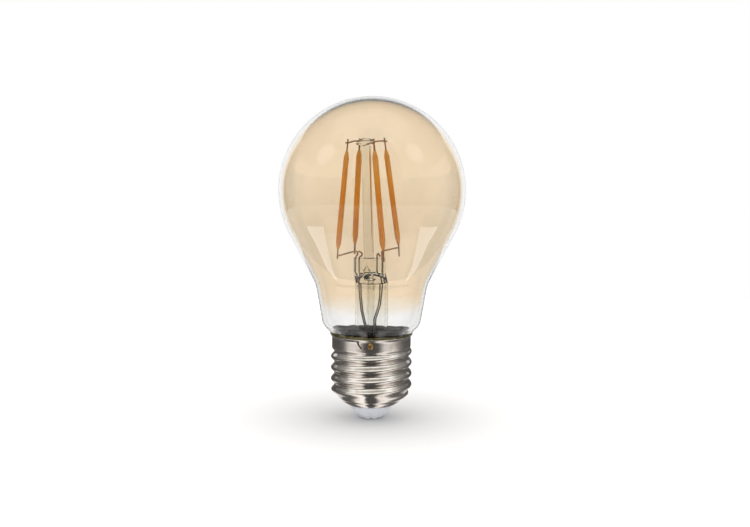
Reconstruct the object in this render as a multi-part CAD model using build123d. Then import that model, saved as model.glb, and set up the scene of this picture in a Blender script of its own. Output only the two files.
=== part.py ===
"""Smart filament light bulb: A60 glass envelope, E27 screw cap, four LED filaments on a glass stem.

Millimetres. +Z runs up the bulb's axis. The origin is the centre of the cap's end contact.
The side contact's solder spot is at the front, on the -Y side. Each named sub-part is written
to its own STEP file, and identical small pieces share one file as separate solids.
"""
from build123d import *
from math import cos, exp, hypot, log, pi, radians, sin, sqrt
import os

# ---------------------------------------------------------------- driving dimensions
OVERALL_LENGTH = 104.0      # end contact to the crown of the glass
ENVELOPE_RADIUS = 30.0      # A60: 60 mm across
GLASS_WALL = 0.9
CONE_HALF_ANGLE = 28.0      # degrees from the axis, below the sphere
SHOULDER_TOP = (17.95, 43.85)      # corner between the cone and the tapered neck
SHOULDER_LOW = (15.75, 31.0)       # corner between the tapered neck and the cap
NECK_AT_RIM = (11.8, 26.55)
NECK_END = (10.9, 20.6)
NECK_SLOPE = (NECK_AT_RIM[0] - NECK_END[0]) / (NECK_AT_RIM[1] - NECK_END[1])
SHOULDER_TOP_BEND = 14.0
SHOULDER_LOW_BEND = 4.5
NECK_BEND = 1.6

# E27 cap
THREAD_PITCH = 3.629        # seven turns to the inch
THREAD_CREST = 13.1
THREAD_ROOT = 12.0
THREAD_CREST_Z = 20.25      # height of a crest on the -X side
SHEET = 0.35                # sheet metal of the screw shell
SHELL_MOUTH = (8.7, 4.9)    # outer edge of the shell's lower mouth
SHELL_TAPER = 1.0           # radius gained per millimetre of height below the thread
COLLAR_RADIUS = 12.75
COLLAR_BOTTOM_Z = 24.0
THREAD_FADE_Z = 21.9        # the thread fades into the collar above this height
CAP_TOP_Z = 27.8
LIP_FLARE = 0.65
LIP_HEIGHT = 1.1
CEMENT_BEAD = (13.95, 28.95)    # where the squeezed-out cement ends on the glass
CONTACT_RADIUS = 2.9
CONTACT_THICKNESS = 0.5
CONTACT_SHANK = 1.2

# glass stem
STEM_TUBE_RADIUS = 5.25
STEM_WALL = 0.7
STEM_TUBE_TOP_Z = 44.6
FLARE_TOP_Z = 27.0
FLARE_LEVELS = (26.0, 25.0, 24.0, 23.0, 22.0)
EXHAUST_X = -0.25
EXHAUST_RADIUS = 1.35
EXHAUST_BORE = 0.8
EXHAUST_TIP_Z = 14.4
PINCH_CENTRE_X = -0.75
PINCH_WIDTH = 10.4
PINCH_THICKNESS = 3.0
PINCH_SLAB_Z = 47.8
PINCH_TOP_Z = 52.4
EXHAUST_HOLE = (-1.6, 46.5)     # x and z of the hole on the front of the pinch
EXHAUST_HOLE_RADIUS = 0.95
BORE_TIP = (1.3, 48.2, 50.1)   # radius, foot and apex of the bore's closed-off tip

# filament mount above the pinch: it stands a little to the left and leans to the left
MOUNT_SHIFT_X = -0.95
MOUNT_LEAN = 1.6                # degrees
ROD_RADIUS = 1.6
ROD_TOP_Z = 88.3
BEAD_RADIUS = 2.9
BEAD_HALF_HEIGHT = 1.25
BEAD_CENTRE_Z = 89.55

# LED filaments: x and y of each one's foot and head around the rod. They are set by hand, so each
# stands a little off the square.
FILAMENT_FOOT_Z = 56.1
FILAMENT_LENGTH = 31.0          # coated length
FILAMENT_WIDTH = 1.9
FILAMENT_THICKNESS = 1.7
FILAMENT_TAPER = 2.2
FILAMENT_TIP = 0.5              # share of the section left at the very end
FRONT_LEFT = ((-9.71, -3.97), (-6.11, -2.57))
BACK_LEFT = ((-4.55, 9.83), (-2.33, 6.35))
FRONT_RIGHT = ((4.59, -9.83), (2.62, -6.35))
BACK_RIGHT = ((9.7, 3.97), (6.27, 2.57))
FILAMENTS = (FRONT_LEFT, BACK_LEFT, FRONT_RIGHT, BACK_RIGHT)
SUBSTRATE = (0.9, 0.4, 29.4)
TAB = (0.55, 0.3)
TAB_REACH = 3.9
TAB_BOTTOM_Z = 52.5
CHIPS_PER_FILAMENT = 24
CHIP = (0.6, 0.16, 0.5)

# wires
SUPPORT_WIRE = 0.5
LEAD_WIRE = 0.42
NEUTRAL_WIRE = 0.3
# where each wire stands in the pinch: x at the top, x at the foot
POSTS = {
    "left_outer": (-5.15, -4.1),
    "left_inner": (-4.05, -3.5),
    "right_inner": (1.7, 2.7),
    "right_outer": (3.35, 3.5),
}

# driver electronics inside the cap
BOARD_RADIUS = 10.2
BOARD_THICKNESS = 1.0
BOARD_TOP_Z = 17.4
LINER_RADIUS = 11.15
LINER_WALL = 0.25
LINER_SPAN_Z = (9.6, 18.6)

parts = {}


# ---------------------------------------------------------------- helpers
def turned(outline):
    """Solid of revolution about Z from a closed outline drawn as (radius, height)."""
    return revolve(make_face([Plane.XZ * edge for edge in outline]), Axis.Z, 360)


def lathe(points):
    """Solid of revolution about Z from the straight-sided outline through (radius, height) points."""
    return turned([Polyline(*points, points[0])])


def offset_corner(before, corner, after, distance):
    """The corner of two straight runs after both have moved distance to the inside of the bulb."""
    lines = []
    for start, end in ((before, corner), (corner, after)):
        dr, dz = end[0] - start[0], end[1] - start[1]
        length = hypot(dr, dz)
        nr, nz = dz / length, -dr / length
        lines.append((nr, nz, nr * start[0] + nz * start[1] + distance))
    (a1, b1, c1), (a2, b2, c2) = lines
    determinant = a1 * b2 - a2 * b1
    return ((c1 * b2 - c2 * b1) / determinant, (a1 * c2 - a2 * c1) / determinant)


def wire_along(points, bend, diameter):
    """A round wire that follows straight runs joined by arcs of radius bend."""
    path = FilletPolyline(*points, radius=bend)
    section = Plane(origin=path @ 0, z_dir=path % 0) * Circle(diameter / 2)
    return sweep(section, path=path)


def strap_along(points, bend, width, thickness, flat):
    """A flat strap that follows straight runs joined by arcs; flat is the direction its width lies in."""
    path = FilletPolyline(*points, radius=bend)
    section = Plane(origin=path @ 0, x_dir=flat, z_dir=path % 0) * Rectangle(width, thickness)
    return sweep(section, path=path)


def smooth_wire(points, diameter):
    """A round wire that bends smoothly through all the points."""
    path = Spline(*points)
    section = Plane(origin=path @ 0, z_dir=path % 0) * Circle(diameter / 2)
    return sweep(section, path=path)


def block(size, centre):
    return Pos(*centre) * Box(*size)


def upright(radius, low_z, high_z, x=0.0, y=0.0):
    """A cylinder that stands along Z."""
    return Pos(x, y, (low_z + high_z) / 2) * Cylinder(radius, high_z - low_z)


def add(name, shape):
    parts[name] = shape


def add_group(name, solids):
    parts[name] = Compound(children=list(solids))


# ---------------------------------------------------------------- glass envelope
def envelope_outline(inset):
    """Crown arc, neck path, end point and pole of the glass surface, inset from the outside."""
    centre_z = OVERALL_LENGTH - ENVELOPE_RADIUS
    radius = ENVELOPE_RADIUS - inset
    beta = radians(CONE_HALF_ANGLE)
    tangent = (radius * cos(beta), centre_z - radius * sin(beta))
    outer_tangent = (ENVELOPE_RADIUS * cos(beta), centre_z - ENVELOPE_RADIUS * sin(beta))
    corners = [outer_tangent, SHOULDER_TOP, SHOULDER_LOW, NECK_AT_RIM, NECK_END]
    moved = [offset_corner(corners[i - 1], corners[i], corners[i + 1], inset) for i in (1, 2, 3)]
    end = (moved[2][0] - NECK_SLOPE * (moved[2][1] - NECK_END[1]), NECK_END[1])
    crown = CenterArc((0, centre_z), radius, -CONE_HALF_ANGLE, 90 + CONE_HALF_ANGLE)
    bends = [SHOULDER_TOP_BEND + inset, SHOULDER_LOW_BEND - inset, NECK_BEND + inset]
    neck = FilletPolyline(tangent, *moved, end, radius=bends)
    return crown, neck, end, (0, centre_z + radius)


def neck_inner_radius(z):
    """Radius of the neck's inside at height z, inside the cap."""
    end_radius, end_z = envelope_outline(GLASS_WALL)[2]
    return end_radius + NECK_SLOPE * (z - end_z)


def make_envelope():
    crown_out, neck_out, end_out, pole_out = envelope_outline(0.0)
    crown_in, neck_in, end_in, pole_in = envelope_outline(GLASS_WALL)
    add("glass_envelope", turned([
        crown_out, neck_out, Line(end_out, end_in), neck_in, crown_in, Line(pole_in, pole_out),
    ]))


# ---------------------------------------------------------------- glass stem
def flare_radius(z):
    """Outer radius of the stem tube, which opens like a trumpet towards the neck's end."""
    rim_z = NECK_END[1]
    rim = neck_inner_radius(rim_z)
    share = (FLARE_TOP_Z - z) / (FLARE_TOP_Z - rim_z)
    return STEM_TUBE_RADIUS + (rim - STEM_TUBE_RADIUS) * share ** 1.7


def make_flare():
    rim_z = NECK_END[1]
    rim_top = rim_z + STEM_WALL
    bore = STEM_TUBE_RADIUS - STEM_WALL
    outer = Spline(
        (STEM_TUBE_RADIUS, FLARE_TOP_Z), *[(flare_radius(z), z) for z in FLARE_LEVELS],
        (neck_inner_radius(rim_top), rim_top), tangents=[(0, -1), (1.0, -0.72)],
    )
    inner = Spline(
        (bore, FLARE_TOP_Z - 0.3),
        *[(flare_radius(z) - STEM_WALL, z - 0.3) for z in FLARE_LEVELS],
        (neck_inner_radius(rim_z) - 0.25, rim_z), tangents=[(0, -1), (1.0, -0.72)],
    )
    add("stem_flare_tube", turned([
        Line((bore, STEM_TUBE_TOP_Z), (STEM_TUBE_RADIUS, STEM_TUBE_TOP_Z)),
        Line((STEM_TUBE_RADIUS, STEM_TUBE_TOP_Z), (STEM_TUBE_RADIUS, FLARE_TOP_Z)),
        outer,
        Line((neck_inner_radius(rim_top), rim_top), (neck_inner_radius(rim_z), rim_z)),
        Line((neck_inner_radius(rim_z), rim_z), (neck_inner_radius(rim_z) - 0.25, rim_z)),
        inner,
        Line((bore, FLARE_TOP_Z - 0.3), (bore, STEM_TUBE_TOP_Z)),
    ]))


def make_exhaust_tube():
    """Tube through which the bulb is filled, sealed off to a rounded tip inside the cap."""
    tip_centre = EXHAUST_TIP_Z + EXHAUST_RADIUS
    add("exhaust_tube", Pos(EXHAUST_X, 0, 0) * turned([
        CenterArc((0, tip_centre), EXHAUST_RADIUS, -90, 90),
        Line((EXHAUST_RADIUS, tip_centre), (EXHAUST_RADIUS, STEM_TUBE_TOP_Z)),
        Line((EXHAUST_RADIUS, STEM_TUBE_TOP_Z), (EXHAUST_BORE, STEM_TUBE_TOP_Z)),
        Line((EXHAUST_BORE, STEM_TUBE_TOP_Z), (EXHAUST_BORE, tip_centre)),
        CenterArc((0, tip_centre), EXHAUST_BORE, -90, 90),
        Line((0, tip_centre - EXHAUST_BORE), (0, EXHAUST_TIP_Z)),
    ]))


def make_pinch():
    """Pressed glass that seals the wires, with the blown exhaust hole and its melted lip on the front."""
    slab = RectangleRounded(PINCH_WIDTH, PINCH_THICKNESS, PINCH_THICKNESS * 0.45)
    shoulder = loft([
        Pos(0, 0, STEM_TUBE_TOP_Z) * Circle(STEM_TUBE_RADIUS),
        Pos(PINCH_CENTRE_X, 0, PINCH_SLAB_Z) * slab,
    ])
    press = extrude(Pos(PINCH_CENTRE_X, 0, PINCH_SLAB_Z) * slab, PINCH_TOP_Z - PINCH_SLAB_Z)
    hole_x, hole_z = EXHAUST_HOLE
    to_front = Rot(90, 0, 0)
    lip = Pos(hole_x, -2.15, hole_z) * to_front * Torus(EXHAUST_HOLE_RADIUS + 0.3, 0.42)
    glass = shoulder + press + lip
    tip_radius, tip_foot, tip_apex = BORE_TIP
    glass -= Pos(hole_x, 0, (tip_foot + tip_apex) / 2) * Cone(tip_radius, 0.1, tip_apex - tip_foot)
    glass -= upright(EXHAUST_BORE, STEM_TUBE_TOP_Z - 0.1, hole_z, EXHAUST_X)
    glass -= Pos(hole_x, -2.5, hole_z) * to_front * Cylinder(EXHAUST_HOLE_RADIUS, 5.0)
    add("stem_pinch", glass - [sealed_wire(*post) for post in POSTS.values()])


def sealed_wire(top_x, foot_x):
    """The run of a wire that is fused into the pinch."""
    return wire_along([
        (top_x, 0, PINCH_TOP_Z), (top_x, 0, 48.0), (foot_x, 0, 45.8), (foot_x, 0, STEM_TUBE_TOP_Z),
    ], 0.8, SUPPORT_WIRE)


def on_mount():
    """Placement of everything that the leaning glass rod carries."""
    return Location((MOUNT_SHIFT_X, 0, PINCH_TOP_Z), (0, -MOUNT_LEAN, 0)) * Pos(0, 0, -PINCH_TOP_Z)


def make_rod():
    stick = on_mount() * upright(ROD_RADIUS, PINCH_TOP_Z - 1, ROD_TOP_Z)
    below = block((20, 20, 4), (0, 0, PINCH_TOP_Z - 2))
    add("support_rod", stick - below)


# ---------------------------------------------------------------- filaments
def filament_ends(foot, head):
    """Lower and upper end points of a filament's coating, in the mount's frame."""
    rise = sqrt(FILAMENT_LENGTH ** 2 - (foot[0] - head[0]) ** 2 - (foot[1] - head[1]) ** 2)
    return Vector(*foot, FILAMENT_FOOT_Z), Vector(*head, FILAMENT_FOOT_Z + rise)


def filament_placement(foot, head):
    """Local Z runs up the filament, local X across its width and local Y away from the bulb's axis."""
    low, high = filament_ends(foot, head)
    across = Vector(foot[1], -foot[0], 0).normalized()
    return on_mount() * Plane(origin=low, x_dir=across, z_dir=high - low).location


def make_filaments():
    full = Ellipse(FILAMENT_WIDTH / 2, FILAMENT_THICKNESS / 2)
    tip = Ellipse(FILAMENT_WIDTH / 2 * FILAMENT_TIP, FILAMENT_THICKNESS / 2 * FILAMENT_TIP)
    stations = [
        tip,
        Pos(0, 0, FILAMENT_TAPER) * full,
        Pos(0, 0, FILAMENT_LENGTH - FILAMENT_TAPER) * full,
        Pos(0, 0, FILAMENT_LENGTH) * tip,
    ]
    width, thickness, length = SUBSTRATE
    start = (FILAMENT_LENGTH - length) / 2
    substrate = block(SUBSTRATE, (0, 0, FILAMENT_LENGTH / 2))
    upper_tab = block((*TAB, TAB_REACH + start), (0, 0, FILAMENT_LENGTH + (TAB_REACH - start) / 2))
    spacing = length / (CHIPS_PER_FILAMENT + 1)
    chips = [
        block(CHIP, (0, thickness / 2 + CHIP[1] / 2, start + spacing * (i + 1)))
        for i in range(CHIPS_PER_FILAMENT)
    ]
    coating = loft(stations, ruled=True) - [substrate, upper_tab, *chips]
    for number, (foot, head) in enumerate(FILAMENTS, 1):
        place = filament_placement(foot, head)
        lower_tab = make_lower_tab(place, start, foot)
        add(f"filament_{number}_phosphor", place * coating - lower_tab)
        add(f"filament_{number}_substrate", place * substrate)
        add_group(f"filament_{number}_end_tabs", [lower_tab, place * upper_tab])
        add_group(f"filament_{number}_led_chips", [place * chip for chip in chips])


def make_lower_tab(place, start, foot):
    """The lower tab leaves the coating along the filament and then bends to hang almost straight down."""
    inside = (place * Pos(0, 0, start)).position
    corner = (place * Pos(0, 0, -0.5)).position
    leaving = (corner - inside).normalized()
    drop = Vector(leaving.X * 0.45, leaving.Y * 0.45, leaving.Z)
    bottom = corner + drop * ((TAB_BOTTOM_Z - corner.Z) / drop.Z)
    flat = Vector(foot[1], -foot[0], 0).normalized()
    return strap_along([inside, corner, bottom], 0.5, *TAB, flat)


# ---------------------------------------------------------------- support wires and bead
# stations of the two wires through the bead: distance along the wire's run, height
OUTER_TOP_WIRE = (
    (-7.2, 89.52), (-5.8, 89.63), (-4.2, 90.0), (-2.6, 90.05), (-1.1, 90.6),
    (0.3, 90.3), (1.6, 89.8), (2.9, 89.66), (4.2, 89.75), (6.3, 89.7), (7.0, 89.6),
)
INNER_TOP_WIRE = (
    (-7.2, 88.95), (-5.2, 88.72), (-2.7, 88.72), (0.0, 88.86), (3.6, 89.1), (6.6, 89.4), (7.9, 89.35),
)


def top_wire(start, end, stations, side):
    """Wire through the bead that joins two opposite filaments' upper tabs, passing them on one side."""
    along = Vector(end[1][0] - start[1][0], end[1][1] - start[1][1], 0).normalized()
    aside = Vector(-along.Y, along.X, 0) * side * (TAB[0] / 2 + SUPPORT_WIRE / 2 + 0.02)
    route = [along * s + aside + Vector(0, 0, z) for s, z in stations]
    return on_mount() * smooth_wire(route, SUPPORT_WIRE)


def make_bead_and_top_wires():
    outer = top_wire(FRONT_LEFT, BACK_RIGHT, OUTER_TOP_WIRE, -1)
    inner = top_wire(BACK_LEFT, FRONT_RIGHT, INNER_TOP_WIRE, -1)
    bead = Pos(0, 0, BEAD_CENTRE_Z) * scale(Sphere(BEAD_RADIUS), by=(1, 1, BEAD_HALF_HEIGHT / BEAD_RADIUS))
    bead += Pos(0, 0, ROD_TOP_Z + 0.25) * Cone(ROD_RADIUS, ROD_RADIUS + 0.5, 0.5)
    add("rod_bead", on_mount() * bead - [parts["support_rod"], outer, inner])
    add("top_wire_outer", outer)
    add("top_wire_inner", inner)


def tab_contact(foot, z):
    """Where a wire's centre line passes a filament's lower tab, on the side towards the rod."""
    lean = MOUNT_SHIFT_X - (z - PINCH_TOP_Z) * sin(radians(MOUNT_LEAN))
    outwards = Vector(*foot, 0).normalized()
    return Vector(foot[0] + lean, foot[1], z) + outwards * (0.18 - 0.8)


def carrier_wire(post, near, near_z, far, far_z, overhang):
    """Post that bends over to the nearer filament's lower tab and runs on past its neighbour's."""
    first = tab_contact(near[0], near_z)
    second = tab_contact(far[0], far_z)
    over = second + (second - first).normalized() * overhang
    return wire_along([*post, first, over], 0.45, SUPPORT_WIRE)


def make_posts():
    """Four posts stand in the pinch: the outer two carry the filaments, the inner two end in hooks."""
    top = PINCH_TOP_Z
    left, right = POSTS["left_outer"][0], POSTS["right_outer"][0]
    add("carrier_wire_left", carrier_wire(
        [(left, 0, top), (left, 0, 52.9), (left + 0.6, 0, 53.5), (left + 0.5, 0.5, 54.3)],
        BACK_LEFT, 53.6, FRONT_LEFT, 53.7, 2.4,
    ))
    add("carrier_wire_right", carrier_wire(
        [(right, 0, top), (right - 0.15, 0, 54.2)],
        FRONT_RIGHT, 55.8, BACK_RIGHT, 55.3, 2.1,
    ))
    left, right = POSTS["left_inner"][0], POSTS["right_inner"][0]
    add("hook_wire_left", wire_along(
        [(left, 0, top), (left + 0.15, 0, 52.75), (left + 0.95, -0.2, 53.3), (left + 0.75, -0.4, 54.2),
         (left - 0.2, -0.7, 54.7)],
        0.3, SUPPORT_WIRE,
    ))
    add("hook_wire_right", wire_along(
        [(right, 0, top), (right, 0, 53.5), (right + 0.45, -0.1, 53.95), (right + 1.0, -0.4, 52.95)],
        0.2, SUPPORT_WIRE,
    ))
    add_group("dumet_seals", [sealed_wire(*post) for post in POSTS.values()])


def make_lower_leads():
    """Leads from the pinch down through the stem tube, past the exhaust tube, to the driver board."""
    start_z = STEM_TUBE_TOP_Z
    routes = {
        "lower_lead_left_outer": [
            (-3.95, 41.0, -0.3), (-3.3, 35.4, -1.3), (-2.1, 30.2, -2.2), (-1.75, 24.0, -2.9),
        ],
        "lower_lead_left_inner": [
            (-3.4, 40.6, 0.2), (-2.8, 35.2, -0.8), (-1.5, 29.6, -1.8), (-1.15, 23.4, -2.4),
        ],
        "lower_lead_right_inner": [
            (2.6, 40.0, -0.2), (2.2, 37.2, -1.0), (0.8, 32.8, -2.0), (0.55, 24.0, -2.9),
        ],
        "lower_lead_right_outer": [
            (3.2, 40.5, 0.0), (2.75, 37.0, -0.9), (1.4, 33.0, -1.8), (1.15, 28.0, -2.3), (1.3, 23.4, -2.6),
        ],
    }
    ends = {
        "lower_lead_left_outer": (-2.6, -4.2),
        "lower_lead_left_inner": (-1.4, -3.2),
        "lower_lead_right_inner": (1.2, -4.2),
        "lower_lead_right_outer": (2.4, -3.4),
    }
    for (name, route), (_, foot_x) in zip(routes.items(), POSTS.values()):
        end_x, end_y = ends[name]
        points = [(foot_x, 0, start_z), *[(x, y, z) for x, z, y in route]]
        points += [(end_x, end_y, BOARD_TOP_Z + 2.0), (end_x, end_y, BOARD_TOP_Z)]
        add(name, wire_along(points, 0.8, LEAD_WIRE))


# ---------------------------------------------------------------- cap
def shell_radius(z):
    """Mean radius of the sheet at height z: a straight thread zone that rounds into the lower taper."""
    straight = (THREAD_CREST + THREAD_ROOT) / 2
    taper = SHELL_MOUTH[0] + SHELL_TAPER * (z - SHELL_MOUTH[1])
    rounding = 0.45
    low = min(straight, taper)
    radius = low - rounding * log(1 + exp(-abs(straight - taper) / rounding))
    return radius + (COLLAR_RADIUS - straight) * thread_fade(z)


def thread_fade(z):
    """0 where the thread is full, rising smoothly to 1 where the plain collar starts."""
    share = min(max((z - THREAD_FADE_Z) / (COLLAR_BOTTOM_Z - THREAD_FADE_Z), 0.0), 1.0)
    return share * share * (3 - 2 * share)


def thread_height(z):
    """Half the thread's depth at height z. It runs out on the taper below and in the collar above."""
    low = min(max((z - 5.6) / 4.6, 0.0), 1.0)
    return (THREAD_CREST - THREAD_ROOT) / 2 * low * low * (3 - 2 * low) * (1 - thread_fade(z))


def shell_body(inset):
    """The threaded body. Across the axis a round thread is a circle whose centre climbs a small helix."""
    steps_per_turn = 8
    step = THREAD_PITCH / steps_per_turn
    bottom = SHELL_MOUTH[1]
    count = round((COLLAR_BOTTOM_Z - bottom) / step)
    sections = []
    for i in range(count + 1):
        z = bottom + (COLLAR_BOTTOM_Z - bottom) * i / count
        phase = pi + 2 * pi * (z - THREAD_CREST_Z) / THREAD_PITCH
        height = thread_height(z)
        sections.append(Pos(height * cos(phase), height * sin(phase), z) * Circle(shell_radius(z) - inset))
    return loft(sections)


def collar_outline(inset):
    r, flare = COLLAR_RADIUS - inset, LIP_FLARE
    lip_bottom = CAP_TOP_Z - LIP_HEIGHT
    return [(r, COLLAR_BOTTOM_Z), (r, lip_bottom), (r + flare, CAP_TOP_Z)]


def make_shell():
    outer, inner = collar_outline(0.0), collar_outline(SHEET)
    collar = lathe([*outer, *reversed(inner)])
    body = shell_body(0.0) - shell_body(SHEET)
    notch = block((NEUTRAL_WIRE + 0.16, 6, 2.6), (NEUTRAL_X + 0.05, -COLLAR_RADIUS, CAP_TOP_Z + 0.26))
    add("screw_shell", body + collar - notch)


def make_insulator_and_contact():
    seat = CONTACT_THICKNESS
    mouth_radius, mouth_z = SHELL_MOUTH
    inner_mouth = shell_radius(mouth_z) - SHEET - 0.05
    profile = [
        (CONTACT_SHANK, seat), (4.4, seat), (5.1, 0.95), (5.5, 1.5), (6.65, 2.9), (7.3, 3.9),
        (inner_mouth, mouth_z - 0.35), (inner_mouth, 6.4), (CONTACT_SHANK, 6.4),
    ]
    body = lathe(profile)
    body -= Pos(3.4, 0, 6.0) * Box(1.2, 1.2, 1.0)
    body -= Pos(-3.4, 0, 6.0) * Box(1.2, 1.2, 1.0)
    add("base_insulator", body)
    head = Pos(0, 0, seat / 2) * Cylinder(CONTACT_RADIUS, seat)
    head = chamfer(head.edges().filter_by(GeomType.CIRCLE).sort_by(Axis.Z)[0], 0.15)
    shank = upright(CONTACT_SHANK, seat, 6.6)
    bore = upright(LEAD_WIRE / 2, 4.0, 7.0)
    add("centre_contact", head + shank - bore)


def make_cement():
    """Ring of capping cement between the glass neck and the shell, squeezed out in a bead over the lip."""
    low_z, top_z = 22.4, CAP_TOP_Z - LIP_HEIGHT
    wall = COLLAR_RADIUS - SHEET
    root = THREAD_ROOT - SHEET
    bead_radius, bead_z = CEMENT_BEAD
    ring = lathe([
        (10, low_z), (root, low_z), (root, 23.4), (wall, 24.1), (wall, top_z),
        (wall + LIP_FLARE - 0.04, CAP_TOP_Z), (bead_radius - 0.45, CAP_TOP_Z + 0.3), (bead_radius, bead_z),
        (10, bead_z),
    ])
    add("capping_cement", ring - glass_envelope_swell() - neutral_wire())


def glass_envelope_swell():
    """Room for the neck's outward bend just under the rim."""
    crown, neck, end, pole = envelope_outline(0.0)
    return turned([crown, neck, Line(end, (0, end[1])), Line((0, end[1]), pole)])


NEUTRAL_X = -4.6


def across_front(radius, x, z):
    """The point at the front of a cylinder of the given radius, at x and z."""
    return (x, -sqrt(radius ** 2 - x ** 2), z)


def neutral_wire():
    """Neutral lead: up beside the glass neck, out through the lip's notch and down the collar."""
    outside = COLLAR_RADIUS + NEUTRAL_WIRE / 2 + 0.02
    return wire_along([
        (-2.6, -8.2, BOARD_TOP_Z), (-2.6, -8.2, 19.3), across_front(11.41, NEUTRAL_X, 20.0),
        across_front(11.41, NEUTRAL_X, 23.4), across_front(12.05, NEUTRAL_X, 25.6),
        across_front(12.2, NEUTRAL_X, 26.95), across_front(outside + 0.35, NEUTRAL_X + 0.1, 26.95),
        across_front(outside, NEUTRAL_X + 0.5, 26.0), across_front(outside, NEUTRAL_X + 1.45, 24.9),
    ], 0.18, NEUTRAL_WIRE)


def make_neutral_contact():
    add("neutral_wire", neutral_wire())
    blob = Pos(-0.3, -COLLAR_RADIUS - 0.05, 25.7) * scale(Sphere(1.0), by=(0.85, 0.5, 1.15))
    add("side_contact_solder", blob - upright(COLLAR_RADIUS, COLLAR_BOTTOM_Z, CAP_TOP_Z + 1))


def make_live_path():
    """End contact, live wire, fusible resistor in its sleeve, driver board."""
    x, y = 0.9, -2.6
    body_low, body_high = 8.2, 12.6
    radius = 1.15
    add("fusible_resistor", upright(radius, body_low, body_high, x, y))
    sleeve = upright(radius + 0.2, body_low - 0.7, body_high + 0.7, x, y)
    add("resistor_sleeve", sleeve - upright(radius, body_low - 0.8, body_high + 0.8, x, y))
    add_group("live_wires", [
        wire_along([(0, 0, 4.0), (0, 0, 7.1), (x, y, 7.2), (x, y, body_low)], 0.3, LEAD_WIRE),
        upright(LEAD_WIRE / 2, body_high, BOARD_TOP_Z - BOARD_THICKNESS, x, y),
    ])


# ---------------------------------------------------------------- driver and radio
def make_driver():
    under = BOARD_TOP_Z - BOARD_THICKNESS
    board = upright(BOARD_RADIUS, under, BOARD_TOP_Z)
    board -= upright(EXHAUST_RADIUS + 0.5, under - 1, BOARD_TOP_Z + 1, EXHAUST_X)
    for angle in (60, 180, 300):
        notch = Pos(BOARD_RADIUS * cos(radians(angle)), BOARD_RADIUS * sin(radians(angle)), BOARD_TOP_Z)
        board -= notch * Cylinder(0.9, 4)
    add("driver_board", board)
    low, high = LINER_SPAN_Z
    liner = upright(LINER_RADIUS, low, high) - upright(LINER_RADIUS - LINER_WALL, low - 1, high + 1)
    add("insulating_liner", liner)
    x, y, bung = -4.9, 1.4, 0.5
    can = upright(3.5, 7.7, under - bung, x, y)
    can = fillet(can.edges().filter_by(GeomType.CIRCLE).sort_by(Axis.Z)[0], 0.4)
    add("capacitor_can", can)
    add("capacitor_bung", upright(2.9, under - bung, under, x, y))
    x, y, foot, flange = 4.5, 2.8, 9.2, 0.9
    core = upright(1.4, foot, under, x, y)
    flanges = upright(3.0, under - flange, under, x, y) + upright(3.0, foot, foot + flange, x, y)
    add("inductor_core", core + flanges)
    add("inductor_winding", upright(2.6, foot + flange, under - flange, x, y) - core)
    x, y, z = 3.4, -6.0, under - 1.6
    half_length, lead_reach = 2.8, 3.5
    choke = Pos(x, y, z) * Rot(0, 90, 0) * Cylinder(1.3, 2 * half_length)
    add("filter_choke", fillet(choke.edges().filter_by(GeomType.CIRCLE), 0.4))
    ends = [(x + side * half_length, x + side * lead_reach) for side in (-1, 1)]
    add_group("choke_leads", [
        wire_along([(start, y, z), (bend, y, z), (bend, y, under)], 0.3, 0.4) for start, bend in ends
    ])
    top = BOARD_TOP_Z
    add("bridge_rectifier", block((4.6, 3.8, 1.5), (-6.0, -2.6, top + 0.75)))
    add("driver_ic", block((4.9, 3.9, 1.4), (6.1, -1.2, top + 0.7)))
    passives = [((-6.4, 2.0), 0), ((-5.8, 4.2), 0), ((5.4, 3.2), 90), ((7.2, 3.2), 90), ((4.4, -6.4), 0),
                ((-3.0, 7.6), 0), ((0.0, 8.4), 0), ((3.0, 7.6), 0)]
    add_group("chip_passives", [
        Pos(x, y, top + 0.35) * Rot(0, 0, turn) * Box(1.6, 0.8, 0.7) for (x, y), turn in passives
    ])


def make_radio():
    """Upright radio module: its board stands behind the exhaust tube, with the antenna at its top."""
    low, high = BOARD_TOP_Z, 24.2
    front = 3.3
    board = block((7.4, 0.8, high - low), (0, front + 0.4, (low + high) / 2))
    add("radio_board", board)
    add("radio_chip", block((3.4, 0.8, 2.6), (-1.0, front - 0.4, 20.0)))
    add("radio_crystal", block((1.6, 0.5, 1.8), (2.2, front - 0.25, 19.9)))
    trace, depth = 0.4, 0.1
    centre_z, half_height = 22.6, 0.9
    fingers = 6
    step = 6.0 / fingers
    track = []
    for i in range(fingers + 1):
        x = -3.0 + step * i
        track.append(block((trace, depth, 2 * half_height + trace), (x, front - depth / 2, centre_z)))
        if i < fingers:
            z = centre_z + half_height * (-1) ** i
            track.append(block((step + trace, depth, trace), (x + step / 2, front - depth / 2, z)))
    antenna = track[0]
    for piece in track[1:]:
        antenna += piece
    add("radio_antenna", antenna)
    add_group("radio_pins", [
        block((0.5, 0.4, 1.2), (x, front - 0.2, low + 0.6)) for x in (-3.0, -1.8, -0.6, 0.6, 1.8, 3.0)
    ])


# ---------------------------------------------------------------- build and write
make_envelope()
make_flare()
make_exhaust_tube()
make_pinch()
make_rod()
make_filaments()
make_bead_and_top_wires()
make_posts()
make_lower_leads()
make_shell()
make_insulator_and_contact()
make_cement()
make_neutral_contact()
make_live_path()
make_driver()
make_radio()

os.makedirs("parts", exist_ok=True)
for name, shape in parts.items():
    export_step(shape, f"parts/{name}.step")
print(len(parts), "nodes")
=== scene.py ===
"""Looks of the smart filament light bulb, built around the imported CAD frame.

Lengths are millimetres times MM. The bulb stands on its end contact at the origin, +Z runs up its
axis and its front faces -Y.
"""

from math import cos, exp, hypot, log, pi, radians, sin, tan

import bmesh
import bpy
from mathutils import Matrix, Vector, noise


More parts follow.
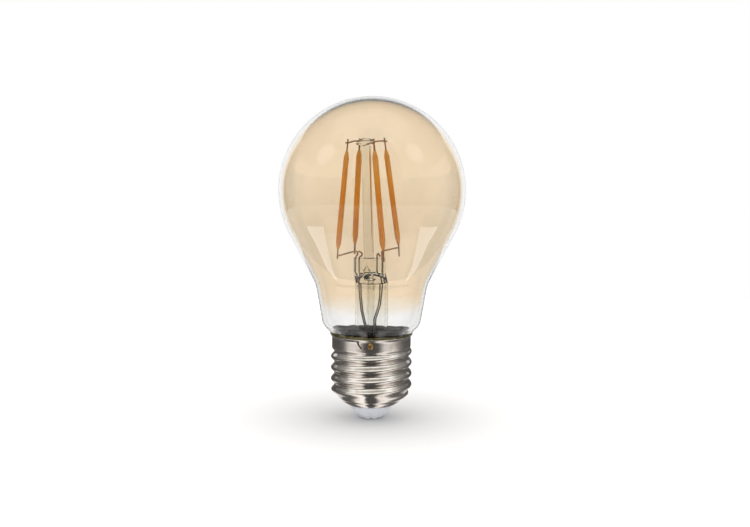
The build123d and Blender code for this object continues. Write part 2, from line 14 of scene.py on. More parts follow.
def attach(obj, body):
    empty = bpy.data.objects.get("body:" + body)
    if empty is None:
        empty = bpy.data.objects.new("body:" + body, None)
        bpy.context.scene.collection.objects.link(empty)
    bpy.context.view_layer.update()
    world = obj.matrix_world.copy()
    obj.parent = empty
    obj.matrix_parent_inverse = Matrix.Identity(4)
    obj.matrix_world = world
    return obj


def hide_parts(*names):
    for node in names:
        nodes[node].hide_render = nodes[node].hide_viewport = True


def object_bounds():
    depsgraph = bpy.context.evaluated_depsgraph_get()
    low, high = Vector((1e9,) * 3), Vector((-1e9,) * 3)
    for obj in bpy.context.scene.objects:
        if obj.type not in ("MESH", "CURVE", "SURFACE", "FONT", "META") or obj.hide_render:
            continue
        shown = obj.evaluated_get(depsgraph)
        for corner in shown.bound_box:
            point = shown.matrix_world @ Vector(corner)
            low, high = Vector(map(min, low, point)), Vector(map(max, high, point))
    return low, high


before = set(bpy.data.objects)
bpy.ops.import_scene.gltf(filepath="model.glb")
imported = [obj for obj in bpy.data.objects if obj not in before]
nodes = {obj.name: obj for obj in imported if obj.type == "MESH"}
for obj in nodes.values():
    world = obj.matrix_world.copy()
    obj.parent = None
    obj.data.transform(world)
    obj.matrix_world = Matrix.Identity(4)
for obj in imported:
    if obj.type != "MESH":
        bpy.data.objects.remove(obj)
cad_low, cad_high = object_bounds()
scene = bpy.context.scene
scene.view_settings.view_transform = "Standard"

MM = 0.001
WHITE = (1, 1, 1, 1)

# ---------------------------------------------------------------- camera
LENS_MM = 62.4
SENSOR_MM = 36
CAMERA_DISTANCE = 415
CAMERA_HEIGHT = 103.5
CAMERA_TILT = 7.0               # degrees below the horizon
CAMERA_ROLL = 0.28
FRAMING_SHIFT = (0.0042666667, -0.0086666666)   # shares of the image's width


def add_camera():
    data = bpy.data.cameras.new("camera")
    data.sensor_width = SENSOR_MM
    data.lens = LENS_MM
    data.shift_x, data.shift_y = FRAMING_SHIFT
    data.clip_start = 0.01
    camera = bpy.data.objects.new("camera", data)
    place = Matrix.Translation((0, -CAMERA_DISTANCE * MM, CAMERA_HEIGHT * MM))
    tilt = Matrix.Rotation(radians(90 - CAMERA_TILT), 4, "X")
    camera.matrix_world = place @ tilt @ Matrix.Rotation(radians(CAMERA_ROLL), 4, "Z")
    scene.collection.objects.link(camera)
    scene.camera = camera


# ---------------------------------------------------------------- node building
def shade(colour):
    return (*colour, 1.0)


def grey(level):
    return (level, level, level, 1.0)


class Graph:
    """A short way to write a node tree: each call adds a node and sets or links its inputs."""

    def __init__(self, tree):
        self.tree = tree
        tree.nodes.clear()

    def node(self, kind, values=None, **settings):
        made = self.tree.nodes.new(kind)
        for key, value in settings.items():
            setattr(made, key, value)
        for key, value in (values or {}).items():
            self.feed(made.inputs[key], value)
        return made

    def feed(self, socket, value):
        if isinstance(value, bpy.types.NodeSocket):
            self.tree.links.new(value, socket)
        elif isinstance(value, bpy.types.Node):
            self.tree.links.new(value.outputs[0], socket)
        else:
            socket.default_value = value

    def math(self, operation, a, b=0.0):
        return self.node("ShaderNodeMath", {0: a, 1: b}, operation=operation).outputs[0]

    def remap(self, value, low, high, to_low=0.0, to_high=1.0):
        """A smooth step from to_low at low to to_high at high."""
        inputs = {"Value": value, 1: low, 2: high, 3: to_low, 4: to_high}
        return self.node("ShaderNodeMapRange", inputs, interpolation_type="SMOOTHSTEP").outputs[0]

    def mix(self, factor, a, b, blend="MIX"):
        made = self.node("ShaderNodeMix", data_type="RGBA", blend_type=blend)
        self.feed(made.inputs[0], factor)
        self.feed(made.inputs[6], a)
        self.feed(made.inputs[7], b)
        return made.outputs[2]

    def multiply(self, a, b):
        return self.mix(1.0, a, b, "MULTIPLY")

    def ramp(self, value, stops):
        """A grey ramp through (place, brightness) stops."""
        made = self.node("ShaderNodeValToRGB", {0: value})
        elements = made.color_ramp.elements
        while len(elements) > 1:
            elements.remove(elements[-1])
        for number, (place, level) in enumerate(stops):
            stop = elements[0] if number == 0 else elements.new(place)
            stop.position = place
            stop.color = grey(level)
        return made.outputs[0]

    def place(self):
        """The point's coordinates in its object, in metres."""
        return self.node("ShaderNodeTexCoord").outputs["Object"]

    def split(self, vector):
        return self.node("ShaderNodeSeparateXYZ", {0: vector}).outputs

    def height(self):
        """Height above the end contact, in metres."""
        return self.split(self.place())["Z"]

    def length(self, vector):
        return self.node("ShaderNodeVectorMath", {0: vector}, operation="LENGTH").outputs["Value"]

    def noise(self, scale, detail=3.0, stretch=(1, 1, 1)):
        """Noise over the same coordinates; scale is features per metre."""
        place = self.place()
        if stretch != (1, 1, 1):
            place = self.node("ShaderNodeMapping", {"Vector": place, "Scale": stretch}).outputs[0]
        values = {"Vector": place, "Scale": scale, "Detail": detail, "Roughness": 0.55}
        return self.node("ShaderNodeTexNoise", values).outputs[0]

    def bump(self, height, strength, distance=0.0001):
        values = {"Height": height, "Strength": strength, "Distance": distance}
        return self.node("ShaderNodeBump", values)

    def glow(self, colour, strength):
        return self.node("ShaderNodeEmission", {"Color": colour, "Strength": strength})

    def surface(self, shader):
        self.node("ShaderNodeOutputMaterial", {"Surface": shader})

    def principled(self, values):
        self.surface(self.node("ShaderNodeBsdfPrincipled", values))


def new_material(name):
    material = bpy.data.materials.new(name)
    material.use_nodes = True
    return material, Graph(material.node_tree)


# ---------------------------------------------------------------- studio
# azimuth away from the camera's side (degrees), brightness seen in glass
WALL_ZONES = (
    (0, 0.08), (60, 0.12), (84, 0.42), (116, 0.42), (124, 0.10), (135, 0.10), (142, 1.0), (180, 1.0),
)
BACKDROP_TOP = (0.35, 0.41)       # sine of the elevation where the pale backdrop ends
DARK_ABOVE = 0.15
CEILING = 0.5
CEILING_SPAN = (0.75, 0.92)
FLOOR_MIRRORED = 0.12
FLOOR_SPAN = (-0.12, -0.75)
# softboxes: direction, cosine of the half width, brightness
SOFTBOXES = (((-0.753, -0.193, 0.601), 0.984, 0.85), ((0.70, -0.25, 0.65), 0.985, 0.85))
SOFTBOX_BLUR = (-0.012, 0.008)
EVEN_SPAN = (-0.2, 0.9)
EVEN_LOW = (0.85, 0.87, 0.90, 1)
EVEN_HIGH = (1.22, 1.2, 1.17, 1)


def azimuth_share(graph, parts):
    """Azimuth away from the camera's side, from 0 in front to 1 behind."""
    aside = graph.math("ABSOLUTE", parts["X"])
    ahead = graph.math("MULTIPLY", parts["Y"], -1.0)
    return graph.math("DIVIDE", graph.math("ARCTAN2", aside, ahead), pi)


def by_azimuth(graph, share, zones):
    """Brightness at an azimuth share, from (degrees, brightness) zones."""
    return graph.ramp(share, [(angle / 180, level) for angle, level in zones])


def mirrored_studio(graph, way):
    """Walls, dark upper part, ceiling, floor and softboxes, as glass and metal mirror them."""
    parts = graph.split(way)
    up = parts["Z"]
    tone = by_azimuth(graph, azimuth_share(graph, parts), WALL_ZONES)
    tone = graph.mix(graph.remap(up, *BACKDROP_TOP), tone, grey(DARK_ABOVE))
    tone = graph.mix(graph.remap(up, *CEILING_SPAN), tone, grey(CEILING))
    tone = graph.mix(graph.remap(up, *FLOOR_SPAN), tone, grey(FLOOR_MIRRORED))
    outer, inner = SOFTBOX_BLUR
    for direction, edge, power in SOFTBOXES:
        facing = graph.node("ShaderNodeVectorMath", {0: way, 1: Vector(direction).normalized()},
                            operation="DOT_PRODUCT").outputs["Value"]
        tone = graph.mix(graph.remap(facing, edge + outer, edge + inner), tone, grey(power))
    return tone


def add_world():
    """Reflections see the studio, matt surfaces get even light, and everything else is white."""
    world = bpy.data.worlds.new("studio")
    world.use_nodes = True
    scene.world = world
    graph = Graph(world.node_tree)
    way = graph.node("ShaderNodeTexCoord").outputs["Generated"]
    studio = mirrored_studio(graph, way)
    even = graph.mix(graph.remap(graph.split(way)["Z"], *EVEN_SPAN), EVEN_LOW, EVEN_HIGH)
    path = graph.node("ShaderNodeLightPath").outputs
    colour = graph.mix(graph.math("GREATER_THAN", path["Glossy Depth"], 0.5), WHITE, studio)
    colour = graph.mix(graph.math("GREATER_THAN", path["Diffuse Depth"], 0.5), colour, even)
    colour = graph.mix(path["Is Camera Ray"], colour, WHITE)
    background = graph.node("ShaderNodeBackground", {"Color": colour, "Strength": 1.0})
    graph.node("ShaderNodeOutputWorld", {"Surface": background})


MIRRORED_ONLY = ("camera", "diffuse", "transmission", "volume_scatter", "shadow")


def circle(radius, z, count):
    """Points round the axis, in metres."""
    angles = [2 * pi * i / count for i in range(count)]
    return [(radius * MM * cos(angle), radius * MM * sin(angle), z * MM) for angle in angles]


def band(count):
    """Faces between the first two circles of count points."""
    pairs = [(i, (i + 1) % count) for i in range(count)]
    return [(i, j, count + j, count + i) for i, j in pairs]


def add_to_stage(name, verts, faces, material, hidden_from):
    """A mesh of the studio, hidden from the given kinds of ray."""
    mesh = bpy.data.meshes.new(name)
    mesh.from_pydata(verts, [], faces)
    mesh.materials.append(material)
    piece = bpy.data.objects.new(name, mesh)
    scene.collection.objects.link(piece)
    for ray in hidden_from:
        setattr(piece, "visible_" + ray, False)


FLOOR_RADIUS = 320
FLOOR_SEGMENTS = 128
FLOOR_TONES = ((0.90, 0.90, 0.905, 1), (0.915, 0.915, 0.92, 1))
FLOOR_GLOW = 0.12
# painted shadow: how bright the floor's colour is at each distance from the bulb's axis, darker in a
# round patch round the bulb's foot
FLOOR_PAINTED_SHADOW = ((0, 0.50), (9, 0.72), (13, 0.78), (20, 0.85), (30, 0.915), (40, 0.965), (50, 1.0))
FLOOR_PAINTED_SHADOW_REACH = 50


def add_floor():
    material, graph = new_material("pale_floor")
    # painted shadow: the floor's colour darkens towards the bulb's axis
    share = graph.math("DIVIDE", graph.length(graph.place()), FLOOR_PAINTED_SHADOW_REACH * MM)
    tone = graph.ramp(share, [(reach / FLOOR_PAINTED_SHADOW_REACH, level) for reach, level in FLOOR_PAINTED_SHADOW])
    tone = graph.multiply(tone, graph.mix(graph.noise(8), *FLOOR_TONES))
    graph.principled({
        "Base Color": tone, "Roughness": 0.9, "Specular IOR Level": 0.0,
        "Emission Color": tone, "Emission Strength": FLOOR_GLOW,
    })
    outline = circle(FLOOR_RADIUS, 0, FLOOR_SEGMENTS)
    add_to_stage("floor", outline, [tuple(range(FLOOR_SEGMENTS))], material, ["glossy"])


# the low ring of cards that the metal cap mirrors, with a round card under the cap
CARD_SEGMENTS = 96
CARD_RADIUS = 62
CARD_SPAN = (-30, 34)
# azimuth from the front (degrees), brightness
CARDS_LEFT = (
    (0, 0.05), (22, 0.05), (31, 0.84), (62, 0.72), (78, 0.14), (100, 0.075), (150, 0.09), (180, 0.5),
)
CARDS_RIGHT = (
    (0, 0.05), (20, 0.06), (34, 0.70), (60, 0.74), (82, 0.2), (100, 0.10), (150, 0.08), (180, 0.5),
)
FRONT_SHARE = (0.62, 0.50)        # azimuth shares where the back cards end and the front cards begin
UPPER_CARD_Z = (23, 28)           # above this height the front cards all have one tone
UPPER_CARD = 0.2
CARD_FADE_Z = (29, 33.5)          # towards the top edge all cards darken to one tone
CARD_TOP_TONE = 0.11
LOW_CARD_GAIN = 1.55              # the cards are brighter below the part that the collar mirrors
LOW_CARD_Z = (10, 15)
CARD_TINT = (1.0, 0.955, 0.93)
UNDER_CARD_RADIUS = 34
UNDER_CARD_Z = -1
UNDER_CARD_REACH = 37.4           # points nearer to the origin than this are on the under card
UNDER_CARD_EXTRA = 0.5            # azimuth counts for this much more on the under card


def scaled(span):
    return [value * MM for value in span]


def card_tone(graph, place, parts):
    """Pale and dark zones by azimuth, different on the left and the right."""
    under = graph.math("LESS_THAN", graph.length(place), UNDER_CARD_REACH * MM)
    widening = graph.math("ADD", graph.math("MULTIPLY", under, UNDER_CARD_EXTRA), 1.0)
    share = graph.math("MULTIPLY", azimuth_share(graph, parts), widening)
    left = by_azimuth(graph, share, CARDS_LEFT)
    right = by_azimuth(graph, share, CARDS_RIGHT)
    tone = graph.mix(graph.math("GREATER_THAN", parts["X"], 0.0), left, right)
    upper = graph.remap(parts["Z"], *scaled(UPPER_CARD_Z))
    upper_front = graph.math("MULTIPLY", graph.remap(share, *FRONT_SHARE), upper)
    tone = graph.mix(upper_front, tone, grey(UPPER_CARD))
    tone = graph.mix(graph.remap(parts["Z"], *scaled(CARD_FADE_Z)), tone, grey(CARD_TOP_TONE))
    return graph.multiply(tone, shade(CARD_TINT))


def add_cards():
    """Pale and dark cards around and under the cap. Only the metal's own reflections see them."""
    count = CARD_SEGMENTS
    low, high = CARD_SPAN
    verts = circle(CARD_RADIUS, low, count) + circle(CARD_RADIUS, high, count)
    verts += circle(UNDER_CARD_RADIUS, UNDER_CARD_Z, count)
    faces = band(count) + [tuple(range(2 * count, 3 * count))]
    material, graph = new_material("cap_cards")
    place = graph.place()
    parts = graph.split(place)
    gain = graph.remap(parts["Z"], *scaled(LOW_CARD_Z), LOW_CARD_GAIN, 1.0)
    graph.surface(graph.glow(card_tone(graph, place, parts), gain))
    add_to_stage("cap_cards", verts, faces, material, MIRRORED_ONLY)


def one_sided(graph, above, below):
    """One shader on the upper side of a flat card and another on its lower side."""
    from_below = graph.node("ShaderNodeNewGeometry").outputs["Backfacing"]
    graph.surface(graph.node("ShaderNodeMixShader", {0: from_below, 1: above, 2: below}))


OVERHEAD_RADII = (34, 76)
OVERHEAD_Z = 60
OVERHEAD_GLOW = 1.3
OVERHEAD_TONES = ((0.94, 0.92, 0.88, 1), (1.0, 0.98, 0.94, 1))
# azimuth from the front (degrees), brightness
OVERHEAD_ZONES = ((0, 1.0), (70, 1.0), (95, 0.25), (180, 0.1))


def add_overhead_card():
    """A flat ring that glows downwards only: the upper flanks of the thread mirror it."""
    inner, outer = OVERHEAD_RADII
    verts = circle(outer, OVERHEAD_Z, CARD_SEGMENTS) + circle(inner, OVERHEAD_Z, CARD_SEGMENTS)
    material, graph = new_material("overhead_card")
    share = azimuth_share(graph, graph.split(graph.place()))
    tone = graph.mix(graph.noise(30), *OVERHEAD_TONES)
    tone = graph.multiply(tone, by_azimuth(graph, share, OVERHEAD_ZONES))
    one_sided(graph, graph.node("ShaderNodeBsdfTransparent"), graph.glow(tone, OVERHEAD_GLOW))
    add_to_stage("overhead_card", verts, band(CARD_SEGMENTS), material, MIRRORED_ONLY)


SIDE_CARD_Z = 39
SIDE_CARD = ((-66, -10), (-50, -36), (-24.5, -18), (-17, -16.5), (-26, -13.5))
SIDE_CARD_GLOW = 2.7


def add_side_cards():
    """Two small sheets beside the neck, lit on top: the glass cone mirrors them as pale patches."""
    material, graph = new_material("side_cards")
    tone = graph.mix(graph.noise(40), grey(0.9), WHITE)
    one_sided(graph, graph.glow(tone, SIDE_CARD_GLOW), graph.node("ShaderNodeBsdfTransparent"))
    for side in (1, -1):
        outline = [(x * side * MM, y * MM, SIDE_CARD_Z * MM) for x, y in SIDE_CARD][::side]
        add_to_stage("side_card", outline, [tuple(range(len(outline)))], material, MIRRORED_ONLY)


# ---------------------------------------------------------------- turned and rolled pieces
def sweep_rings(rings, segments, closed):
    """Vertices, faces and each face's ring, through rings that are functions of the angle or poles."""
    verts = []
    starts = []
    for ring in rings:
        starts.append(len(verts))
        if isinstance(ring, tuple):
            verts.append(ring)
        else:
            verts += [ring(2 * pi * k / segments) for k in range(segments)]
    faces = []
    owners = []
    last = len(rings) if closed else len(rings) - 1
    for i in range(last):
        j = (i + 1) % len(rings)
        low_pole, high_pole = isinstance(rings[i], tuple), isinstance(rings[j], tuple)
        if low_pole and high_pole:
            continue
        for k in range(segments):
            n = (k + 1) % segments
            a, b = starts[i] + k, starts[i] + n
            c, d = starts[j] + n, starts[j] + k
            if low_pole:
                faces.append((starts[i], c, d))
            elif high_pole:
                faces.append((a, b, starts[j]))
            else:
                faces.append((a, b, c, d))
            owners.append(i)
    return verts, faces, owners


def make_piece(name, rings, segments, replaced, materials, closed=True, material_of=None):
    """A smooth mesh through rings in millimetres that stands for a CAD node."""
    verts, faces, owners = sweep_rings(rings, segments, closed)
    mesh = bpy.data.meshes.new(name)
    mesh.from_pydata([(x * MM, y * MM, z * MM) for x, y, z in verts], [], faces)
    for material in materials:
        mesh.materials.append(material)
    for face, owner in zip(mesh.polygons, owners):
        face.use_smooth = True
        if material_of:
            face.material_index = material_of(owner)
    build = bmesh.new()
    build.from_mesh(mesh)
    bmesh.ops.recalc_face_normals(build, faces=build.faces)
    build.to_mesh(mesh)
    build.free()
    piece = bpy.data.objects.new(name, mesh)
    scene.collection.objects.link(piece)
    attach(piece, "root")
    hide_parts(replaced)


def round_ring(radius, z):
    return lambda angle: (radius * cos(angle), radius * sin(angle), z)


def turned_rings(outline):
    """Rings for an outline of (radius, height) points; a point on the axis becomes a pole."""
    return [(0, 0, z) if r < 1e-6 else round_ring(r, z) for r, z in outline]


def rounded(points, bends, step):
    """Points along an open outline whose inner corners are arcs of the given radii."""
    result = [points[0]]
    for before, at, after, bend in zip(points, points[1:], points[2:], bends):
        corner = Vector(at)
        back, ahead = Vector(before) - corner, Vector(after) - corner
        half = back.angle(ahead) / 2
        reach = bend / tan(half)
        back.normalize()
        ahead.normalize()
        centre = corner + (back + ahead).normalized() * (bend / sin(half))
        start = corner + back * reach - centre
        turn = (corner + ahead * reach - centre).angle_signed(start)
        count = max(2, round(abs(turn) * bend / step))
        for i in range(count + 1):
            result.append(tuple(centre + Matrix.Rotation(turn * i / count, 2) @ start))
    result.append(points[-1])
    return result


def straight(points, step):
    """The outline with long runs divided, so that every face stays short."""
    result = [points[0]]
    for (x0, y0), (x1, y1) in zip(points, points[1:]):
        count = max(1, round(hypot(x1 - x0, y1 - y0) / step))
        for i in range(1, count + 1):
            share = i / count
            result.append((x0 + (x1 - x0) * share, y0 + (y1 - y0) * share))
    return result


# ---- the glass
ENVELOPE_TOP = cad_high.z / MM
ENVELOPE_RADIUS = 29.95
GLASS_WALL = 0.9
CROWN_WALL = 1.25                 # the blown glass is thicker over the crown
CONE_HALF_ANGLE = radians(28)
NECK_CORNERS = ((17.95, 43.85), (15.75, 31.0), (11.8, 26.55), (10.9, 20.6))
NECK_BENDS = (14.0, 4.5, 1.6)
NECK_BEND_STEP = 0.35
NECK_RUN_STEP = 0.8
CROWN_STEPS = 120
GLASS_SEGMENTS = 256


def crown_outline(inset, crown_inset):
    """The sphere's outline from the pole down to the cone."""
    centre_z = ENVELOPE_TOP - ENVELOPE_RADIUS
    outline = []
    for i in range(CROWN_STEPS + 1):
        angle = pi / 2 - (pi / 2 + CONE_HALF_ANGLE) * i / CROWN_STEPS
        high = max(sin(angle), 0) ** 2
        radius = ENVELOPE_RADIUS - inset - (crown_inset - inset) * high
        outline.append((max(radius * cos(angle), 0), centre_z + radius * sin(angle)))
    return outline


def inset_corners(points, inset):
    """The corners of an outline, moved to its inner side."""
    corners = [Vector(point) for point in points]
    moved = []
    for i, corner in enumerate(corners):
        runs = [j for j in (i - 1, i) if 0 <= j < len(corners) - 1]
        ways = [(corners[j + 1] - corners[j]).normalized() for j in runs]
        sides = [Vector((way.y, -way.x)) for way in ways]
        if len(sides) == 1:
            moved.append(corner + sides[0] * inset)
        else:
            middle = (sides[0] + sides[1]).normalized()
            moved.append(corner + middle * (inset / middle.dot(sides[0])))
    return [tuple(point) for point in moved]


def envelope_outline(inset, crown_inset):
    """The glass outline from the crown down to the neck's end, inset from the outside."""
    centre_z = ENVELOPE_TOP - ENVELOPE_RADIUS
    cone_radius = ENVELOPE_RADIUS * cos(CONE_HALF_ANGLE)
    cone_z = centre_z - ENVELOPE_RADIUS * sin(CONE_HALF_ANGLE)
    corners = inset_corners(((cone_radius, cone_z), *NECK_CORNERS), inset)
    bends = (NECK_BENDS[0] + inset, NECK_BENDS[1] - inset, NECK_BENDS[2] + inset)
    neck = straight(rounded(corners, bends, NECK_BEND_STEP), NECK_RUN_STEP)
    return crown_outline(inset, crown_inset)[:-1] + neck


def make_bulb_glass(outer_material, inner_material):
    """The envelope, with its own material on the inside."""
    outside = envelope_outline(0.0, 0.0)
    inside = envelope_outline(GLASS_WALL, CROWN_WALL)
    rings = turned_rings(outside + inside[::-1])
    make_piece("bulb_glass", rings, GLASS_SEGMENTS, "glass_envelope",
               [outer_material, inner_material],
               material_of=lambda ring: 0 if ring < len(outside) else 1)


# ---- the rolled cap, with the thread of part.py
THREAD_PITCH = 3.629
THREAD_CREST = 13.1
THREAD_ROOT = 12.0
THREAD_CREST_Z = 20.25
THREAD_START_Z = (5.0, 9.0)       # the thread grows out of the taper between these heights
THREAD_FADE_Z = 21.9              # and fades from here up to the collar
SHEET = 0.35
SHELL_MOUTH = (8.7, 4.9)
SHELL_TAPER = 1.0
SHELL_SHOULDER = 0.45             # how softly the taper turns into the thread's straight part
MOUTH_TURN = 0.45                 # how far the sheet turns in at the mouth
MOUTH_TURN_RISE = 0.35            # and the height over which it does
GROOVE_Z = 6.3                    # a shallow rolled groove just above the mouth
GROOVE_DEPTH = 0.3
GROOVE_SPREAD = 0.38
COLLAR_RADIUS = 12.75
COLLAR_BOTTOM_Z = 24.0
CAP_TOP_Z = 27.8
LIP_FLARE = 0.62
LIP_HEIGHT = 1.1
LIP_BEND = 0.9
SHELL_RING_STEP = 0.075
SHELL_SEGMENTS = 224
SHELL_DENTS = 0.035
SHELL_RIPPLES = 0.012
BEND_STEP = 0.12
RUN_STEP = 0.4
LIP_RUN_STEP = 0.3


def eased(value, low, high):
    """0 below low, 1 above high and smooth between."""
    share = min(max((value - low) / (high - low), 0.0), 1.0)
    return share * share * (3 - 2 * share)


def shell_radius(z):
    """Mean radius of the rolled sheet's outside at height z."""
    middle = (THREAD_CREST + THREAD_ROOT) / 2
    taper = SHELL_MOUTH[0] + SHELL_TAPER * (z - SHELL_MOUTH[1])
    shoulder = SHELL_SHOULDER * log(1 + exp(-abs(middle - taper) / SHELL_SHOULDER))
    groove = GROOVE_DEPTH * exp(-((z - GROOVE_Z) / GROOVE_SPREAD) ** 2)
    turned_in = MOUTH_TURN * exp(-(z - SHELL_MOUTH[1]) / MOUTH_TURN_RISE)
    collar = (COLLAR_RADIUS - middle) * eased(z, THREAD_FADE_Z, COLLAR_BOTTOM_Z)
    return min(middle, taper) - shoulder - groove - turned_in + collar


def thread_depth(z):
    """How far the sheet's centre is off the axis at height z, which is half the thread's depth."""
    full = (THREAD_CREST - THREAD_ROOT) / 2
    return full * eased(z, *THREAD_START_Z) * (1 - eased(z, THREAD_FADE_Z, COLLAR_BOTTOM_Z))


def thread_ring(z, inset):
    """A ring of the rolled sheet: a circle whose centre climbs the thread's helix, a little uneven."""
    depth, radius = thread_depth(z), shell_radius(z) - inset
    phase = pi + 2 * pi * (z - THREAD_CREST_Z) / THREAD_PITCH
    across, along = depth * cos(phase), depth * sin(phase)

    def point(angle):
        unit = Vector((cos(angle), sin(angle), 0))
        uneven = SHELL_DENTS * noise.noise(unit * 2.6 + Vector((0, 0, z * 0.35)))
        uneven += SHELL_RIPPLES * noise.noise(unit * 9 + Vector((4, 0, z * 0.9)))
        reach = radius + uneven
        return (across + reach * unit.x, along + reach * unit.y, z)
    return point


def lip_outline():
    """The plain collar's outside, the flared lip with its rolled edge, and the collar's inside."""
    edge = COLLAR_RADIUS + LIP_FLARE
    corners = [
        (COLLAR_RADIUS, COLLAR_BOTTOM_Z),
        (COLLAR_RADIUS, CAP_TOP_Z - LIP_HEIGHT + 0.1),
        (edge, CAP_TOP_Z - 0.15),
    ]
    outside = rounded(corners, [LIP_BEND], BEND_STEP)
    tip = [(edge + 0.01, CAP_TOP_Z - 0.06), (edge - 0.10, CAP_TOP_Z), (edge - 0.24, CAP_TOP_Z - 0.02)]
    inside = [(r - SHEET, z + 0.06) for r, z in reversed(outside[1:-1])]
    return straight(outside, LIP_RUN_STEP)[1:] + tip + straight(inside, RUN_STEP)


def make_cap_shell(material):
    """The rolled shell: up its outside, over the lip and down its inside to the turned-in mouth."""
    low, high = SHELL_MOUTH[1], COLLAR_BOTTOM_Z
    count = round((high - low) / SHELL_RING_STEP)
    heights = [low + (high - low) * i / count for i in range(count + 1)]
    rings = [thread_ring(z, 0.0) for z in heights]
    rings += turned_rings(lip_outline())
    rings += [thread_ring(z, SHEET) for z in heights[::-2]]
    mouth = shell_radius(low) - SHEET / 2
    rings += turned_rings([(mouth - 0.12, low - 0.12), (mouth + 0.10, low - 0.12)])
    make_piece("cap_shell", rings, SHELL_SEGMENTS, "screw_shell", [material])


# outlines of (radius, height) corners, and the radii of the bends between them
INSULATOR_BOSS = ((1.2, 0.5), (4.1, 0.5), (5.1, 1.5), (6.4, 3.2), (7.0, 4.15), (7.85, 4.55))
INSULATOR_BENDS = (0.4, 1.2, 1.6, 0.5)
INSULATOR_INSIDE = [(7.85, 5.2), (7.6, 6.4), (1.2, 6.4)]
INSULATOR_SEGMENTS = 128
CONTACT_OUTLINE = (
    (0, 0.10), (0.9, 0.10), (1.3, 0.0), (2.75, 0.0), (2.9, 0.5), (1.2, 0.5), (1.2, 6.55), (0, 6.55),
)
CONTACT_BENDS = (0.2, 0.2, 0.13, 0.08, 0.1, 0.15)
CONTACT_BEND_STEP = 0.06
CONTACT_SEGMENTS = 96


def make_cap_insulator(material):
    """White moulded end: a rounded boss that swells into the shell's mouth."""
    boss = rounded(INSULATOR_BOSS, INSULATOR_BENDS, BEND_STEP)
    rings = turned_rings(straight(boss + INSULATOR_INSIDE, RUN_STEP))
    make_piece("cap_insulator", rings, INSULATOR_SEGMENTS, "base_insulator",
               [material])


def make_cap_contact(material):
    """Riveted end contact: a shallow cup with a rolled edge."""
    outline = rounded(CONTACT_OUTLINE, CONTACT_BENDS, CONTACT_BEND_STEP)
    rings = turned_rings(straight(outline, RUN_STEP))
    make_piece("cap_contact", rings, CONTACT_SEGMENTS, "centre_contact", [material],
               closed=False)


# the bead's section: radius, height and how much of the squeezed-out rise the ring takes
BEAD_SECTION = (
    (12.36, 24.2, 0), (12.36, 26.7, 0), (12.8, 27.5, 0), (13.0, 27.7, 0.2), (13.06, 27.78, 0.7),
    (13.06, 27.9, 0.95), (12.85, 27.85, 0.95), (12.3, 27.2, 0.2), (11.95, 26.6, 0), (11.5, 24.2, 0),
)
BEAD_FULLEST = radians(238)       # towards the front left
BEAD_MEAN = 0.45
BEAD_LEAN = 0.5
BEAD_BLOBS = 0.4
BEAD_RIPPLE = 0.05
BEAD_SPREAD = 0.4
BEAD_SEGMENTS = 220


def bead_ring(radius, z, lift):
    """A ring of the bead, which rises more at the front left and in blobs."""
    def point(angle):
        unit = Vector((cos(angle), sin(angle), 0))
        blobs = BEAD_BLOBS * noise.noise(unit * 3.1 + Vector((7, 3, 0)))
        full = BEAD_MEAN + BEAD_LEAN * cos(angle - BEAD_FULLEST) + blobs
        ripple = BEAD_RIPPLE * noise.noise(unit * 14 + Vector((1, 2, z)))
        rise = lift * min(max(full, 0.0), 1.0)
        reach = radius + rise * BEAD_SPREAD + ripple
        return (reach * unit.x, reach * unit.y, z + rise + ripple)
    return point


def make_cement_bead(material):
    """Capping cement, squeezed out unevenly between the lip and the glass."""
    rings = [bead_ring(*row) for row in BEAD_SECTION]
    make_piece("cement_bead", rings, BEAD_SEGMENTS, "capping_cement", [material])


# ---------------------------------------------------------------- materials
def solid_material(name, light, dark, roughness=(0.35, 0.5), metallic=0.0, grain=900, bump=0.2,
                   gloss=0.5):
    """An opaque material whose colour and roughness wander between two values, with a fine bump."""
    material, graph = new_material(name)
    wander = graph.noise(grain)
    graph.principled({
        "Base Color": graph.mix(graph.remap(wander, 0.35, 0.65), shade(dark), shade(light)),
        "Roughness": graph.remap(wander, 0.3, 0.7, roughness[1], roughness[0]),
        "Metallic": metallic,
        "Normal": graph.bump(graph.noise(2500, detail=5.0), bump),
        "Specular IOR Level": gloss,
    })
    return material


def wire_material(name, light, dark):
    """Oxidised wire: dull and mottled."""
    return solid_material(name, light, dark, (0.5, 0.7), grain=1500, gloss=0.15)


def glass_material(name, tint, fades=(), wander=0.02, ripple=0.02, edge=None,
                   painted_edge_shade_span=(0.55, 0.95), ior=1.5):
    """Clear glass with a faint ripple. Each of fades is (low height, high height, tint above them). The
    edge colour is painted shade: the tint turns to it towards the rims, where the surface turns away from
    the view.
    """
    material, graph = new_material(name)
    colour = shade(tint)
    level = graph.math("ADD", graph.height(), graph.math("MULTIPLY", graph.noise(60), 0.002))
    for low, high, tint_above in fades:
        colour = graph.mix(graph.remap(level, low * MM, high * MM), colour, shade(tint_above))
    # painted shade: the tint darkens to the edge colour where the surface turns away from the view
    if edge is not None:
        facing = graph.node("ShaderNodeLayerWeight", {"Blend": 0.5}).outputs["Facing"]
        colour = graph.mix(graph.remap(facing, *painted_edge_shade_span), colour, shade(edge))
    cloud = graph.remap(graph.noise(220), 0.3, 0.7, 1 - wander, 1.0)
    cloud = graph.node("ShaderNodeCombineColor", {0: cloud, 1: cloud, 2: cloud})
    graph.principled({
        "Base Color": graph.multiply(colour, cloud),
        "Roughness": graph.remap(graph.noise(300), 0.4, 0.8, 0.0, 0.012),
        "Transmission Weight": 1.0,
        "IOR": ior,
        "Normal": graph.bump(graph.noise(140, detail=1.0), ripple, 0.001),
    })
    return material


